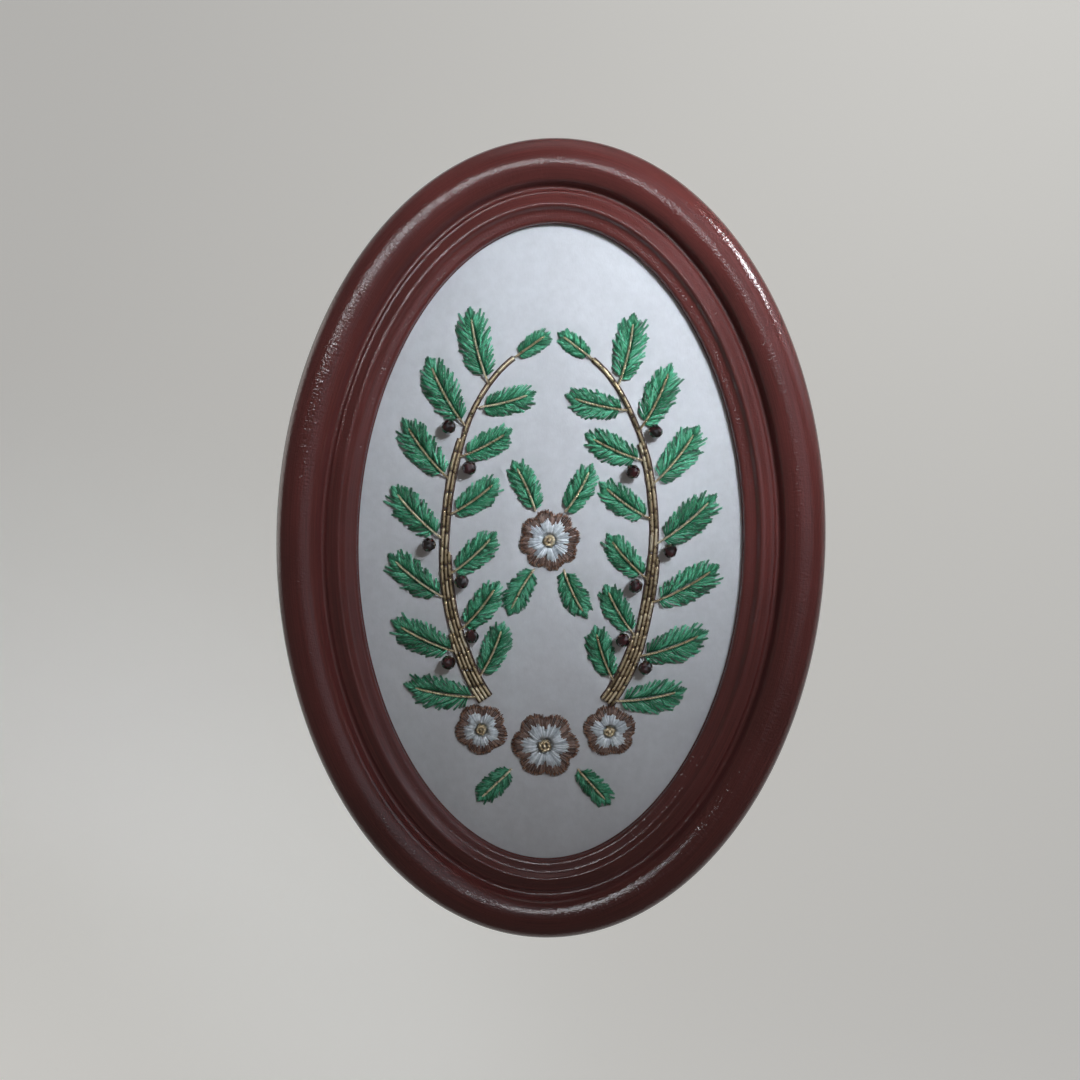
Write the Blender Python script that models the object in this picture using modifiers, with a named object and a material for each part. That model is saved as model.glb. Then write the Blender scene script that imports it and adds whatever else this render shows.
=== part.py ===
"""An oval embroidered wall hanging: stitched velvet on a padded panel, in a lacquered wooden frame.

Everything is laid out lying on its back, front up, and then stood up by one empty.
Lengths are in metres. The back of the frame lies in the plane y = 0.
"""

from math import atan2, cos, hypot, pi, radians, sin

import bmesh
import bpy

MM = 0.001

# The frame as seen from the front.
FRAME_HALF_WIDTH = 75.0 * MM
FRAME_HALF_HEIGHT = 110.0 * MM
OVAL_STEPS = 80

# The section of the moulding: distances in from the outer edge, and heights above the back.
FRAME_DEPTH = 14.5 * MM
BACK_CORNER_IN = 1.4 * MM
ROLL_WAIST_HEIGHT = 10.0 * MM
ROLL_CREST_IN = 6.2 * MM
ROLL_STEPS = 4
VALLEY_IN = 12.4 * MM
VALLEY_HEIGHT = 10.2 * MM
BEADING_CREST_IN = 16.9 * MM
BEADING_HEIGHT = 11.8 * MM
LIP_EDGE_IN = 22.0 * MM
LIP_FRONT_HEIGHT = 9.5 * MM
LIP_BACK_HEIGHT = 7.8 * MM
REBATE_WALL_IN = 16.0 * MM

# Touching pieces are kept this far apart.
GAP = 0.3 * MM

BOARD_THICKNESS = 3.0 * MM

# The padded panel: a flat edge under the lip and a crown inside it.
PANEL_EDGE_HEIGHT = LIP_BACK_HEIGHT - GAP
PANEL_CROWN = 4.2 * MM
PANEL_FULLNESS = 2.3
CROWN_FOOT_IN = 22.7 * MM
CROWN_RINGS = 7

# Stitched pieces lie on the velvet.
STITCH_THICKNESS = 0.8 * MM
STITCH_SWELL = 0.3 * MM

# The garland: two stems that follow one oval, from a row of flowers at the bottom to the top.
GARLAND_HALF_WIDTH = 28.5 * MM
GARLAND_HALF_HEIGHT = 54.0 * MM
GARLAND_CENTRE_Y = 2.0 * MM
STEM_START = radians(-54)
STEM_END = radians(69)
STEM_STEPS = 32
STEM_HALF_WIDTH_START = 2.1 * MM
STEM_HALF_WIDTH_END = 0.7 * MM

# Leaves are notched where the stitches end, and bend towards the tip.
LEAF_LENGTH = 18.0 * MM
LEAF_HALF_WIDTH = 4.8 * MM
LEAF_LEAN = radians(48)
LEAF_BEND = radians(16)
LEAF_NOTCH = 0.18
LEAF_STEPS = 8
LEAF_CLEARANCE = 1.0 * MM

# Rows of leaves on a stem: side of it, number, place of the first and last along it, relative length.
LEAF_ROWS = (
    ("outer", 7, 0.03, 0.88, 1.00),
    ("inner", 6, 0.08, 0.80, 0.82),
)
TIP_LEAF_LENGTH = 10.0 * MM

# Beads lie behind the base of these leaves of each row.
BEADED_LEAVES = {"outer": (1, 3, 5), "inner": (1, 2, 4)}
BEAD_RADIUS = 1.9 * MM
BEAD_BACK = 2.9 * MM
BEAD_ASIDE = 4.3 * MM

# Flowers: place, radius, number of petals, turn.
FLOWERS = {
    "flower_bottom": (0.0, -54.5 * MM, 9.4 * MM, 6, 0.0),
    "flower_right": (17.8 * MM, -50.0 * MM, 7.4 * MM, 5, 0.4),
    "flower_left": (-17.8 * MM, -50.5 * MM, 7.4 * MM, 5, 0.9),
    "rosette": (0.0, 3.0 * MM, 8.4 * MM, 8, 0.2),
}
FLOWER_SWELL = 1.4 * MM
FLOWER_RINGS = 6
FLOWER_STEPS_PER_PETAL = 4
FLOWER_NOTCH = 0.18

# Single leaves: place of the base, heading, length. Those at the rosette are made by a loop.
TAIL_LEAVES = (
    (9.6 * MM, -61.5 * MM, radians(-48), 13.0 * MM),
    (-9.6 * MM, -62.0 * MM, radians(-134), 13.0 * MM),
)
ROSETTE_LEAF_HEADINGS = (radians(62), radians(116), radians(243), radians(297))
ROSETTE_LEAF_LENGTH = 14.0 * MM

COLLECTION_NAME = "embroidered wall hanging"

# Colour, roughness and metallic value of each material.
FINISHES = {
    "lacquered_wood": ((0.080, 0.026, 0.022, 1.0), 0.28, 0.0),
    "velvet": ((0.560, 0.570, 0.600, 1.0), 0.90, 0.0),
    "board": ((0.300, 0.200, 0.120, 1.0), 0.80, 0.0),
    "green_silk": ((0.030, 0.260, 0.100, 1.0), 0.45, 0.0),
    "gold_purl": ((0.420, 0.300, 0.150, 1.0), 0.35, 0.9),
    "white_silk": ((0.620, 0.660, 0.680, 1.0), 0.45, 0.0),
    "garnet_glass": ((0.035, 0.008, 0.008, 1.0), 0.12, 0.0),
}


def clear_scene():
    for thing in list(bpy.data.objects):
        bpy.data.objects.remove(thing, do_unlink=True)


def make_collection(name):
    collection = bpy.data.collections.new(name)
    bpy.context.scene.collection.children.link(collection)
    return collection


def make_material(name):
    colour, roughness, metallic = FINISHES[name]
    material = bpy.data.materials.new(name)
    material.use_nodes = True
    shader = material.node_tree.nodes["Principled BSDF"]
    shader.inputs["Base Color"].default_value = colour
    shader.inputs["Roughness"].default_value = roughness
    shader.inputs["Metallic"].default_value = metallic
    material.diffuse_color = colour
    return material


def add_object(name, data, material, smooth=False):
    thing = bpy.data.objects.new(name, data)
    thing.data.materials.append(material)
    thing.parent = hanging
    parts.objects.link(thing)
    if smooth:
        data.shade_smooth()
        data.set_sharp_from_angle(angle=radians(35))
    return thing


def frame_point(turn, inset):
    """The point of the frame's oval at an angle, moved in square to the edge."""
    x = FRAME_HALF_WIDTH * cos(turn)
    y = FRAME_HALF_HEIGHT * sin(turn)
    normal_x = cos(turn) / FRAME_HALF_WIDTH
    normal_y = sin(turn) / FRAME_HALF_HEIGHT
    length = hypot(normal_x, normal_y)
    return x - inset * normal_x / length, y - inset * normal_y / length


def oval_curve(name, inset):
    curve = bpy.data.curves.new(name, "CURVE")
    curve.dimensions = "2D"
    spline = curve.splines.new("POLY")
    spline.points.add(OVAL_STEPS - 1)
    for index, point in enumerate(spline.points):
        x, y = frame_point(2 * pi * index / OVAL_STEPS, inset)
        point.co = (x, y, 0, 1)
    spline.use_cyclic_u = True
    return curve


def moulding_section():
    """Corners of the section, from the back's outer corner over the front to the rebate."""
    corners = [(BACK_CORNER_IN, 0.0), (BACK_CORNER_IN * 0.35, ROLL_WAIST_HEIGHT * 0.3)]
    for step in range(ROLL_STEPS + 1):
        angle = pi / 2 * step / ROLL_STEPS
        across = ROLL_CREST_IN * (1 - cos(angle))
        up = ROLL_WAIST_HEIGHT + (FRAME_DEPTH - ROLL_WAIST_HEIGHT) * sin(angle)
        corners.append((across, up))
    for step in range(1, ROLL_STEPS):
        angle = pi / 2 * step / ROLL_STEPS
        across = ROLL_CREST_IN + (VALLEY_IN - ROLL_CREST_IN) * sin(angle)
        up = VALLEY_HEIGHT + (FRAME_DEPTH - VALLEY_HEIGHT) * cos(angle)
        corners.append((across, up))
    beading_rise = BEADING_HEIGHT - VALLEY_HEIGHT
    beading_width = BEADING_CREST_IN - VALLEY_IN
    corners += [
        (VALLEY_IN, VALLEY_HEIGHT),
        (VALLEY_IN + 0.45 * beading_width, VALLEY_HEIGHT + 0.45 * beading_rise),
        (VALLEY_IN + 0.80 * beading_width, VALLEY_HEIGHT + 0.95 * beading_rise),
        (BEADING_CREST_IN + 0.12 * beading_width, BEADING_HEIGHT),
        (LIP_EDGE_IN, LIP_FRONT_HEIGHT),
        (LIP_EDGE_IN, LIP_BACK_HEIGHT),
        (REBATE_WALL_IN, LIP_BACK_HEIGHT),
        (REBATE_WALL_IN, 0.0),
    ]
    return corners


def make_moulding():
    section = bpy.data.curves.new("moulding_section", "CURVE")
    section.dimensions = "2D"
    spline = section.splines.new("POLY")
    corners = moulding_section()
    spline.points.add(len(corners) - 1)
    for point, (across, up) in zip(spline.points, corners):
        point.co = (across, up, 0, 1)
    spline.use_cyclic_u = True
    guide = bpy.data.objects.new("moulding_section", section)
    guide.hide_render = True
    guide.display_type = "WIRE"
    guides.objects.link(guide)

    curve = oval_curve("moulding", 0.0)
    curve.bevel_mode = "OBJECT"
    curve.bevel_object = guide
    return add_object("moulding", curve, materials["lacquered_wood"])


def make_board():
    curve = oval_curve("backing_board", REBATE_WALL_IN + GAP)
    curve.fill_mode = "BOTH"
    curve.extrude = BOARD_THICKNESS / 2
    board = add_object("backing_board", curve, materials["board"])
    board.location.z = BOARD_THICKNESS / 2
    return board


def panel_height(x, y):
    """Height of the velvet above the frame's back."""
    across = x / (FRAME_HALF_WIDTH - CROWN_FOOT_IN)
    along = y / (FRAME_HALF_HEIGHT - CROWN_FOOT_IN)
    out = min(1.0, hypot(across, along))
    return PANEL_EDGE_HEIGHT + PANEL_CROWN * (1 - out**PANEL_FULLNESS)


def make_panel():
    """A sphere's rings become the crown, the flat edge, the side and the back of the panel."""
    rings = CROWN_RINGS + 3
    mesh = bpy.data.meshes.new("padded_panel")
    shape = bmesh.new()
    bmesh.ops.create_uvsphere(shape, u_segments=OVAL_STEPS, v_segments=rings, radius=1.0)
    for vertex in shape.verts:
        out = hypot(vertex.co.x, vertex.co.y)
        ring = round(atan2(out, vertex.co.z) / pi * rings)
        turn = atan2(vertex.co.y, vertex.co.x)
        if ring <= CROWN_RINGS:
            x, y = frame_point(turn, CROWN_FOOT_IN)
            x *= ring / CROWN_RINGS
            y *= ring / CROWN_RINGS
            height = panel_height(x, y)
        else:
            x, y = frame_point(turn, REBATE_WALL_IN + GAP)
            height = PANEL_EDGE_HEIGHT if ring == CROWN_RINGS + 1 else BOARD_THICKNESS + GAP
        if ring == rings:
            x, y = 0.0, 0.0
        vertex.co = (x, y, height)
    shape.to_mesh(mesh)
    shape.free()
    return add_object("padded_panel", mesh, materials["velvet"], smooth=True)


def make_strip(name, centre_line, half_width, steps, material):
    """A stitched strip on the velvet: a grid bent along a line, then given its thickness."""
    mesh = bpy.data.meshes.new(name)
    grid = bmesh.new()
    bmesh.ops.create_grid(grid, x_segments=steps, y_segments=2, size=0.5)
    for vertex in grid.verts:
        along = vertex.co.x + 0.5
        side = vertex.co.y * 2
        x, y, heading = centre_line(along)
        reach = side * half_width(along)
        x -= reach * sin(heading)
        y += reach * cos(heading)
        swell = STITCH_SWELL * (1 - abs(side))
        vertex.co = (x, y, panel_height(x, y) + GAP + swell)
    grid.to_mesh(mesh)
    grid.free()
    strip = add_object(name, mesh, material)
    solidify = strip.modifiers.new("thickness", "SOLIDIFY")
    solidify.thickness = STITCH_THICKNESS
    solidify.offset = 1.0
    return strip


def garland_point(angle, side):
    """A point on the garland's oval and the stem's heading; side is 1 on the right, -1 on the left."""
    x = GARLAND_HALF_WIDTH * cos(angle)
    y = GARLAND_CENTRE_Y + GARLAND_HALF_HEIGHT * sin(angle)
    heading = atan2(GARLAND_HALF_HEIGHT * cos(angle), -GARLAND_HALF_WIDTH * sin(angle) * side)
    return side * x, y, heading


def stem_half_width(along):
    return STEM_HALF_WIDTH_START + (STEM_HALF_WIDTH_END - STEM_HALF_WIDTH_START) * along


def make_stem(name, side):
    def centre_line(along):
        return garland_point(STEM_START + (STEM_END - STEM_START) * along, side)

    return make_strip(name, centre_line, stem_half_width, STEM_STEPS, materials["gold_purl"])


def make_leaf(name, base, heading, length, bend):
    """A leaf with notched sides, bent to one side on its way to the tip."""

    def centre_line(along):
        chord = heading + bend * (along / 2 - 0.5)
        distance = length * along
        x = base[0] + distance * cos(chord)
        y = base[1] + distance * sin(chord)
        return x, y, heading + bend * (along - 0.5)

    def half_width(along):
        full = sin(pi * (0.03 + 0.94 * along)) ** 0.75
        notch = LEAF_NOTCH if round(along * LEAF_STEPS) % 2 else 0.0
        return LEAF_HALF_WIDTH * length / LEAF_LENGTH * full * (1 - notch)

    return make_strip(name, centre_line, half_width, LEAF_STEPS, materials["green_silk"])


def beside_stem(along, side, hand, back, aside):
    """A point back along the stem and out to one hand of it, and the heading there."""
    x, y, heading = garland_point(STEM_START + (STEM_END - STEM_START) * along, side)
    turn = hand * side
    x -= back * cos(heading) + turn * aside * sin(heading)
    y -= back * sin(heading) - turn * aside * cos(heading)
    return x, y, heading


def leaf_rows(side):
    """Row, number, hand and place along the stem, and relative length, of each of its leaves."""
    for row, count, first, last, size in LEAF_ROWS:
        hand = -1 if row == "outer" else 1
        for index in range(count):
            yield row, index, hand, first + (last - first) * index / (count - 1), size


def make_garland_side(side, suffix):
    """One stem with its leaves and beads. The handwork is a little uneven."""
    make_stem("stem_" + suffix, side)
    for row, index, hand, along, size in leaf_rows(side):
        uneven = sin(7.3 * index + 2.1 * hand + 1.7 * side)
        clear = stem_half_width(along) + LEAF_CLEARANCE
        x, y, heading = beside_stem(along, side, hand, 0.0, clear)
        lean = hand * side * (LEAF_LEAN + radians(3) * uneven)
        length = LEAF_LENGTH * size * (1 + 0.04 * uneven)
        name = f"leaf_{suffix}_{row}_{index + 1}"
        make_leaf(name, (x, y), heading + lean, length, -hand * side * LEAF_BEND)
        if index in BEADED_LEAVES[row]:
            x, y, heading = beside_stem(along, side, hand, BEAD_BACK, BEAD_ASIDE)
            make_bead(f"bead_{suffix}_{row}_{index + 1}", x, y)
    x, y, heading = garland_point(STEM_END, side)
    x += LEAF_CLEARANCE * cos(heading)
    y += LEAF_CLEARANCE * sin(heading)
    make_leaf(f"leaf_{suffix}_tip", (x, y), heading, TIP_LEAF_LENGTH, 0.0)


def make_flower(name, x, y, radius, petals, turn):
    """A low flower: a flattened ball whose rim is drawn out into petals."""
    mesh = bpy.data.meshes.new(name)
    shape = bmesh.new()
    segments = petals * FLOWER_STEPS_PER_PETAL
    bmesh.ops.create_uvsphere(shape, u_segments=segments, v_segments=FLOWER_RINGS, radius=1.0)
    for vertex in shape.verts:
        angle = atan2(vertex.co.y, vertex.co.x)
        out = hypot(vertex.co.x, vertex.co.y)
        rim = radius * (1 - FLOWER_NOTCH * (1 - abs(cos(petals * angle / 2)) ** 0.6))
        flower_x = x + rim * out * cos(angle + turn)
        flower_y = y + rim * out * sin(angle + turn)
        swell = FLOWER_SWELL / 2 * (1 + vertex.co.z)
        vertex.co = (flower_x, flower_y, panel_height(flower_x, flower_y) + GAP + swell)
    shape.to_mesh(mesh)
    shape.free()
    return add_object(name, mesh, materials["white_silk"], smooth=True)


def make_bead(name, x, y):
    """A faceted bead on the velvet."""
    mesh = bpy.data.meshes.new(name)
    shape = bmesh.new()
    bmesh.ops.create_icosphere(shape, subdivisions=2, radius=BEAD_RADIUS)
    shape.to_mesh(mesh)
    shape.free()
    bead = add_object(name, mesh, materials["garnet_glass"])
    bead.location = (x, y, panel_height(x, y) + GAP + BEAD_RADIUS)
    return bead


def make_flowers():
    for name, (x, y, radius, petals, turn) in FLOWERS.items():
        make_flower(name, x, y, radius, petals, turn)
    for index, (x, y, heading, length) in enumerate(TAIL_LEAVES):
        make_leaf(f"leaf_tail_{index + 1}", (x, y), heading, length, 0.0)
    x, y, radius = FLOWERS["rosette"][:3]
    for index, heading in enumerate(ROSETTE_LEAF_HEADINGS):
        out = radius + LEAF_CLEARANCE
        base = (x + out * cos(heading), y + out * sin(heading))
        make_leaf(f"leaf_rosette_{index + 1}", base, heading, ROSETTE_LEAF_LENGTH, LEAF_BEND)


clear_scene()
parts = make_collection(COLLECTION_NAME)
guides = make_collection("guides")
materials = {name: make_material(name) for name in FINISHES}
hanging = bpy.data.objects.new("hanging", None)
hanging.rotation_euler = (radians(90), 0.0, 0.0)
parts.objects.link(hanging)

make_moulding()
make_board()
make_panel()
make_garland_side(1, "right")
make_garland_side(-1, "left")
make_flowers()
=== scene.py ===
import math
import random

import bpy
import numpy as np
from mathutils import Matrix, Vector


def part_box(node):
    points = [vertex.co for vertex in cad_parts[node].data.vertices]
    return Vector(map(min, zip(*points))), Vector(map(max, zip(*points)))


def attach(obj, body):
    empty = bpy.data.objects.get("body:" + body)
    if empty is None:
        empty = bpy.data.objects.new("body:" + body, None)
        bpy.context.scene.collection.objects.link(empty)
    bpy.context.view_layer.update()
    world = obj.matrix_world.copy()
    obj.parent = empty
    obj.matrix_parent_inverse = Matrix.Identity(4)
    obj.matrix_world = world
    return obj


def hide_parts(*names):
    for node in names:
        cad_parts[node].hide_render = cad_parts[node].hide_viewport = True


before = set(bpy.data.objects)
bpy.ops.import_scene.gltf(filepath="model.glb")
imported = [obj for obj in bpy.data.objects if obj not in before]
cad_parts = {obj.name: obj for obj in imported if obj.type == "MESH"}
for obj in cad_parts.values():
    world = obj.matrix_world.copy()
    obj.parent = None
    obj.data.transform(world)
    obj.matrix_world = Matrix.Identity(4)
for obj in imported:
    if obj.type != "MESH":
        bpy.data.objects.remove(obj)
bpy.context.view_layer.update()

mm = 0.001
print("frame loaded,", len(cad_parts), "nodes")


# the oval and the crown, in the sizes that the solids have
mouldingLow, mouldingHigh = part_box("moulding")
halfWidth = (mouldingHigh[0] - mouldingLow[0]) / 2
halfHeight = (mouldingHigh[2] - mouldingLow[2]) / 2
panelLow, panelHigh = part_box("padded_panel")
panel = {
    "edgeHeight": 7.5 * mm,
    "fullness": 2.3,
    "footIn": 22.7 * mm,
}
panel["crown"] = -panelLow[1] - panel["edgeHeight"]


def ovalPoint(turn, inset):
    # the frame's oval at an angle, moved in square to the edge
    x, y = halfWidth * np.cos(turn), halfHeight * np.sin(turn)
    normalX, normalY = np.cos(turn) / halfWidth, np.sin(turn) / halfHeight
    size = np.hypot(normalX, normalY)
    return x - inset * normalX / size, y - inset * normalY / size


def clothHeight(x, y):
    out = np.hypot(x / (halfWidth - panel["footIn"]), y / (halfHeight - panel["footIn"]))
    return panel["edgeHeight"] + panel["crown"] * (1 - np.minimum(out, 1.0) ** panel["fullness"])


def stand(x, y, height):
    # laid out flat with the front up, then stood upright
    return np.stack(np.broadcast_arrays(x, -np.asarray(height), y), axis=-1)


def smoothLine(points, steps):
    # a curve through every point, which keeps its corners where a point is given twice
    points = np.asarray(points, float)
    before = np.vstack([2 * points[0] - points[1], points, 2 * points[-1] - points[-2]])
    out = []
    for a, b, c, d in zip(before, before[1:], before[2:], before[3:]):
        if np.allclose(b, c):
            continue
        for t in np.arange(steps) / steps:
            out.append(0.5 * (2 * b + (c - a) * t + (2 * a - 5 * b + 4 * c - d) * t**2
                              + (3 * b - a - 3 * c + d) * t**3))
    out.append(points[-1])
    return np.array(out)


# shader maths

class Signal:
    # a socket that can be added, scaled and mixed like a number
    def __init__(self, recipe, socket):
        self.recipe, self.socket = recipe, socket

    def maths(self, operation, *values):
        inputs = dict(enumerate(values))
        return self.recipe.node("ShaderNodeMath", {"operation": operation}, inputs)

    def __add__(self, other): return self.maths("ADD", self, other)
    def __radd__(self, other): return self.maths("ADD", other, self)
    def __sub__(self, other): return self.maths("SUBTRACT", self, other)
    def __rsub__(self, other): return self.maths("SUBTRACT", other, self)
    def __mul__(self, other): return self.maths("MULTIPLY", self, other)
    def __rmul__(self, other): return self.maths("MULTIPLY", other, self)
    def sine(self): return self.maths("SINE", self)
    def inRange(self, low, high):
        return self.recipe.node("ShaderNodeMapRange", {"interpolation_type": "SMOOTHSTEP"},
                                {"Value": self, "From Min": low, "From Max": high})


class Recipe:
    # one material and the nodes in it
    def __init__(self, name, **fixed):
        self.material = bpy.data.materials.new(name)
        self.material.use_nodes = True
        self.tree = self.material.node_tree
        self.shader = self.tree.nodes["Principled BSDF"]
        self.set(**fixed)

    def node(self, kind, settings=None, values=None, output=0):
        made = self.tree.nodes.new(kind)
        for name, value in (settings or {}).items():
            if name == "stops":
                self.setStops(made.color_ramp, value)
            else:
                setattr(made, name, value)
        for name, value in (values or {}).items():
            self.feed(made.inputs[name], value)
        return Signal(self, made.outputs[output])

    def setStops(self, ramp, stops):
        while len(ramp.elements) < len(stops):
            ramp.elements.new(0.5)
        for element, (place, colour) in zip(ramp.elements, stops):
            element.position = place
            element.color = (*colour, 1.0)

    def feed(self, socket, value):
        if isinstance(value, Signal):
            self.tree.links.new(value.socket, socket)
        elif isinstance(value, tuple) and len(value) == 3 and socket.type == "RGBA":
            socket.default_value = (*value, 1.0)
        else:
            socket.default_value = value

    def set(self, **values):
        for name, value in values.items():
            self.feed(self.shader.inputs[name.replace("_", " ")], value)

    def place(self):
        return self.node("ShaderNodeTexCoord", output="Object")

    def stretched(self, vector, scale):
        return self.node("ShaderNodeVectorMath", {"operation": "MULTIPLY"}, {0: vector, 1: scale})

    def attribute(self, name, part):
        vector = self.node("ShaderNodeAttribute", {"attribute_name": name}, output="Vector")
        return self.node("ShaderNodeSeparateXYZ", values={"Vector": vector}, output=part)

    def noise(self, vector, scale, detail=3.0, roughness=0.5):
        values = {"Vector": vector, "Scale": scale, "Detail": detail, "Roughness": roughness}
        return self.node("ShaderNodeTexNoise", values=values)

    def mix(self, factor, first, second):
        values = {0: factor, 6: first, 7: second}
        return self.node("ShaderNodeMix", {"data_type": "RGBA"}, values, output=2)

    def ramp(self, factor, stops):
        return self.node("ShaderNodeValToRGB", {"stops": stops}, {"Fac": factor})

    def bump(self, height, strength, distance):
        values = {"Height": height, "Strength": strength, "Distance": distance}
        self.set(Normal=self.node("ShaderNodeBump", values=values))


def lacqueredWood():
    finish = {
        "light": (0.122, 0.0260, 0.0222),
        "dark": (0.074, 0.0168, 0.0142),
        "bare": (0.130, 0.070, 0.038),
        "bareDark": (0.090, 0.046, 0.026),
        "grain": (6.0, 260.0),
        "peelScale": 1500.0,
        "peelDepth": 0.21 * mm,
        "chatter": (420.0, 60.0),
    }
    wood = Recipe("lacqueredWood", IOR=1.52, Sheen_Weight=0.06, Sheen_Roughness=0.55)
    wood.set(Sheen_Tint=(0.88, 0.92, 1.0))
    around = wood.attribute("run", "X")
    across = wood.attribute("run", "Y")

    def streaks(scales, shift):
        # a place stretched along the moulding
        values = {"X": around * scales[0], "Y": across * scales[1], "Z": shift}
        return wood.node("ShaderNodeCombineXYZ", values=values)

    grain = wood.noise(streaks(finish["grain"], 0.0), 1.6, 5.0, 0.62)
    cloud = wood.noise(wood.place(), 28.0, 3.0)
    tone = (grain * 0.65 + cloud * 0.35).inRange(0.34, 0.66)
    lacquer = wood.mix(tone, finish["dark"], finish["light"])
    back = wood.attribute("run", "Z")
    bare = wood.mix(grain, finish["bare"], finish["bareDark"])
    wood.set(Base_Color=wood.mix(back, lacquer, bare))
    peel = wood.noise(wood.place(), finish["peelScale"], 2.0, 0.55)
    chatter = wood.noise(streaks(finish["chatter"], 3.7), 1.0, 2.0, 0.6)
    wood.set(Roughness=back * 0.45 + (0.055 + cloud * 0.06))
    wood.bump(peel * 0.40 + chatter * 0.45 + grain * 0.12, 0.80, finish["peelDepth"])
    return wood.material


def paleVelvet():
    finish = {
        "lit": (0.610, 0.610, 0.625),
        "shade": (0.500, 0.495, 0.505),
        "napScale": 2600.0,
        "napStretch": (1.0, 1.0, 0.35),
        "brushedScale": 42.0,
        "brushedStretch": (1.0, 1.0, 0.62),
        "fleckScale": 420.0,
        "napDepth": 0.10 * mm,
    }
    velvet = Recipe("paleVelvet", Sheen_Weight=0.35, Sheen_Roughness=0.45, IOR=1.35)
    velvet.set(Sheen_Tint=(0.95, 0.96, 1.0), Specular_IOR_Level=0.15)
    brushedPlace = velvet.stretched(velvet.place(), finish["brushedStretch"])
    brushed = velvet.noise(brushedPlace, finish["brushedScale"], 4.0, 0.58)
    fleck = velvet.noise(velvet.place(), finish["fleckScale"], 3.0, 0.6)
    napPlace = velvet.stretched(velvet.place(), finish["napStretch"])
    nap = velvet.noise(napPlace, finish["napScale"], 2.0, 0.7)
    tone = (brushed * 0.62 + fleck * 0.38).inRange(0.30, 0.70)
    shaded = tone * 0.72 + nap * 0.28
    velvet.set(Base_Color=velvet.mix(shaded, finish["shade"], finish["lit"]))
    velvet.set(Roughness=0.80 + nap * 0.15)
    velvet.bump(nap * 0.6 + fleck * 0.7 + brushed * 0.4, 0.6, finish["napDepth"])
    return velvet.material


def silk(name, dark, middle, light, roughness=0.42, metallic=0.0):
    # tint picks the strand's own shade, and the run along it gives fine uneven filaments
    thread = Recipe(name, Metallic=metallic, Sheen_Weight=0.15, Sheen_Roughness=0.3)
    along = thread.attribute("thread", "X")
    around = thread.attribute("thread", "Y")
    tint = thread.attribute("thread", "Z")
    filament = (along * 5.2 + around * (4 * math.pi)).sine() * 0.5 + 0.5
    fleck = thread.noise(thread.place(), 1400.0, 2.0)
    shade = tint * 0.66 + filament * 0.12 + fleck * 0.22
    thread.set(Base_Color=thread.ramp(shade, [(0.12, dark), (0.50, middle), (0.90, light)]))
    thread.set(Roughness=roughness - 0.08 + fleck * 0.16)
    thread.bump(filament, 0.35, 0.03 * mm)
    return thread.material


def goldPurl():
    finish = {
        "dull": (0.150, 0.115, 0.068),
        "middle": (0.640, 0.520, 0.330),
        "bright": (0.980, 0.890, 0.680),
    }
    purl = Recipe("goldPurl", Metallic=0.92)
    tint = purl.attribute("thread", "Z")
    fleck = purl.noise(purl.place(), 900.0, 2.0)
    shade = tint * 0.62 + fleck * 0.38
    stops = [(0.15, finish["dull"]), (0.50, finish["middle"]), (0.85, finish["bright"])]
    purl.set(Base_Color=purl.ramp(shade, stops))
    purl.set(Roughness=0.22 + fleck * 0.14)
    return purl.material


def garnetGlass():
    finish = {
        "deep": (0.003, 0.0015, 0.002),
        "red": (0.034, 0.002, 0.0045),
    }
    glass = Recipe("garnetGlass", Coat_Weight=1.0, Coat_Roughness=0.03, IOR=1.6)
    # near-black glass with patches of dark red mixed in by noise: the red patches are painted red
    # glints
    depth = glass.noise(glass.place(), 520.0, 2.0)
    glass.set(Base_Color=glass.mix(depth.inRange(0.42, 0.62), finish["deep"], finish["red"]))
    glass.set(Roughness=0.06 + depth * 0.05)
    return glass.material


def hardboard():
    finish = {
        "dark": (0.150, 0.088, 0.047),
        "light": (0.330, 0.215, 0.125),
        "fibreStretch": (1.0, 1.0, 0.4),
    }
    board = Recipe("hardboard", Specular_IOR_Level=0.25)
    fibre = board.noise(board.stretched(board.place(), finish["fibreStretch"]), 900.0, 4.0, 0.7)
    cloud = board.noise(board.place(), 30.0, 3.0)
    board.set(Base_Color=board.mix(fibre * 0.6 + cloud * 0.4, finish["dark"], finish["light"]))
    board.set(Roughness=0.70 + fibre * 0.2)
    board.bump(fibre, 0.5, 0.08 * mm)
    return board.material


# dark, middle and light of each thread, and how rough and metallic it is where that differs
threadColours = {
    "greenSilk": ((0.007, 0.075, 0.032), (0.030, 0.235, 0.112), (0.150, 0.560, 0.350)),
    "whiteSilk": ((0.300, 0.335, 0.370), (0.560, 0.605, 0.640), (0.860, 0.900, 0.930)),
    "brownSilk": ((0.048, 0.024, 0.018), (0.150, 0.085, 0.064), (0.380, 0.255, 0.205)),
    "copperThread": ((0.120, 0.055, 0.035), (0.330, 0.170, 0.110), (0.620, 0.390, 0.280), 0.32, 0.8),
}
materials = {
    "lacqueredWood": lacqueredWood(),
    "paleVelvet": paleVelvet(),
    **{name: silk(name, *looks) for name, looks in threadColours.items()},
    "goldPurl": goldPurl(),
    "garnetGlass": garnetGlass(),
    "hardboard": hardboard(),
}
print("materials mixed:", len(materials))


def addPiece(name, verts, faces, material, attribute=None, smooth=True):
    mesh = bpy.data.meshes.new(name)
    mesh.from_pydata(verts.tolist(), [], faces)
    mesh.materials.append(materials[material])
    if smooth:
        mesh.shade_smooth()
    if attribute:
        values = mesh.attributes.new(attribute[0], "FLOAT_VECTOR", "POINT")
        values.data.foreach_set("vector", np.asarray(attribute[1], np.float32).ravel())
    mesh.update()
    thing = bpy.data.objects.new(name, mesh)
    bpy.context.scene.collection.objects.link(thing)
    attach(thing, "root")
    return thing


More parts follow.
